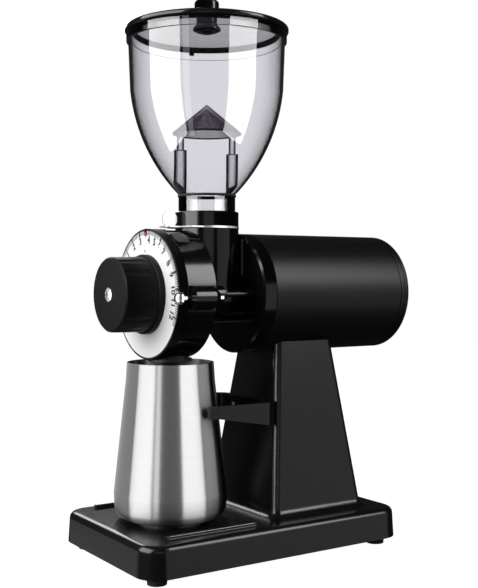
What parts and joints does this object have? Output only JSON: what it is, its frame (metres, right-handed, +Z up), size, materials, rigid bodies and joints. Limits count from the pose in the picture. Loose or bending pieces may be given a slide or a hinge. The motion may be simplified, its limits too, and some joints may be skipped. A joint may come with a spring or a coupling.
{
  "type": "burr coffee grinder",
  "caption": "Bench coffee grinder: clear hopper over a flat-burr drum with a numbered dial and knob, round motor on a column, steel cup on a flat base.",
  "frame": {"origin": "middle of the overall box at table height", "axes": "+Z up, -Y towards the dial and knob, +X towards the lock pin"},
  "size_m": [0.156, 0.2836, 0.463],
  "materials": {
    "black_paint": "satin",
    "black_rubber": "matte",
    "black_moulding": "gloss",
    "knob_moulding": "matte",
    "steel": "brushed",
    "bright_steel": "polished",
    "smoked_clear": "clear",
    "dial_white": "printed",
    "pointer_red": "gloss",
    "bare_aluminium": "cast",
    "core_steel": "laminated",
    "winding": "enamelled",
    "inner_moulding": "matte"
  },
  "bodies": {
    "stand": {"base_casting": "black_paint", "bottom_cover": "black_paint", "rubber_feet": "black_rubber", "foot_screws": "steel", "left_rail": "black_moulding", "right_rail": "black_moulding", "cup_fork": "black_paint", "fork_tips": "black_rubber", "fork_screws": "steel", "grinder_body": "black_paint", "burr_housing": "black_paint", "tie_bolts": "steel", "tie_nuts": "steel", "lock_spring": "steel", "dial_pointer": "pointer_red", "carrier_dowels": "steel", "shaft_seal": "black_rubber", "front_bearing": "bright_steel", "rear_bearing": "bright_steel", "stator_core": "core_steel", "stator_windings": "winding", "motor_shell": "black_paint", "motor_bolts": "steel", "rear_cap": "black_paint", "rear_cap_screws": "steel", "spout": "black_moulding", "gate_spacer": "steel", "hopper_collar": "black_paint", "switch_housing": "black_moulding", "run_capacitor": "inner_moulding", "terminal_block": "inner_moulding", "cord_gland": "inner_moulding"},
    "hopper_body": {"hopper": "smoked_clear", "bean_cone": "smoked_clear"},
    "lid_body": {"lid_ring": "black_moulding", "lid_disc": "smoked_clear", "lid_knob": "black_moulding", "lid_screw": "bright_steel"},
    "gate_body": {"bean_gate": "bright_steel"},
    "dial_body": {"dial_ring": "black_moulding", "dial_plate": "dial_white", "grind_knob": "knob_moulding", "knob_screw": "bright_steel", "adjusting_spindle": "steel"},
    "burr_slide_body": {"fixed_carrier": "bare_aluminium", "fixed_burr": "steel", "fixed_burr_screws": "steel"},
    "lock_body": {"lock_pin": "bright_steel"},
    "rotor_body": {"motor_shaft": "steel", "rotor_core": "core_steel", "cooling_fan": "inner_moulding", "feed_auger": "bare_aluminium", "burr_carrier": "bare_aluminium", "rotating_burr": "steel", "rotating_burr_screws": "steel"},
    "rocker_body": {"switch_rocker": "black_moulding"},
    "cup_body": {"cup": "steel"}
  },
  "joints": [
    {"name": "hopper_lift", "type": "slide", "parent": "stand", "child": "hopper_body", "axis": [0, 0, 1], "range_m": [0, 0.06]},
    {"name": "lid_lift", "type": "slide", "parent": "hopper_body", "child": "lid_body", "axis": [0, 0, 1], "range_m": [0, 0.05]},
    {"name": "gate_slide", "type": "slide", "parent": "stand", "child": "gate_body", "axis": [0, -1, 0], "range_m": [0, 0.042]},
    {"name": "dial_turn", "type": "hinge", "parent": "stand", "child": "dial_body", "pos_m": [0, -0.1008, 0.217], "axis": [0, 1, 0], "range_deg": [-150, 150]},
    {"name": "burr_adjust", "type": "slide", "parent": "stand", "child": "burr_slide_body", "axis": [0, 1, 0], "range_m": [-0.0007, 0.0007]},
    {"name": "lock_pull", "type": "slide", "parent": "stand", "child": "lock_body", "axis": [0, -1, 0], "range_m": [0, 0.004], "stiffness_N_per_m": 600, "springref_m": -0.004, "deforming": ["lock_spring"]},
    {"name": "rotor_spin", "type": "hinge", "parent": "stand", "child": "rotor_body", "pos_m": [0, -0.0168, 0.217], "axis": [0, 1, 0], "continuous": true},
    {"name": "switch_press", "type": "hinge", "parent": "stand", "child": "rocker_body", "pos_m": [-0.03996, 0.0492, 0.10685], "axis": [0, -1, 0], "range_deg": [0, 14]},
    {"name": "cup_draw", "type": "slide", "parent": "stand", "child": "cup_body", "axis": [0, -1, 0], "range_m": [0, 0.12]}
  ],
  "couplings": [
    {"joint": "burr_adjust", "follows": "dial_turn", "m_per_rad": -0.00023873}
  ]
}
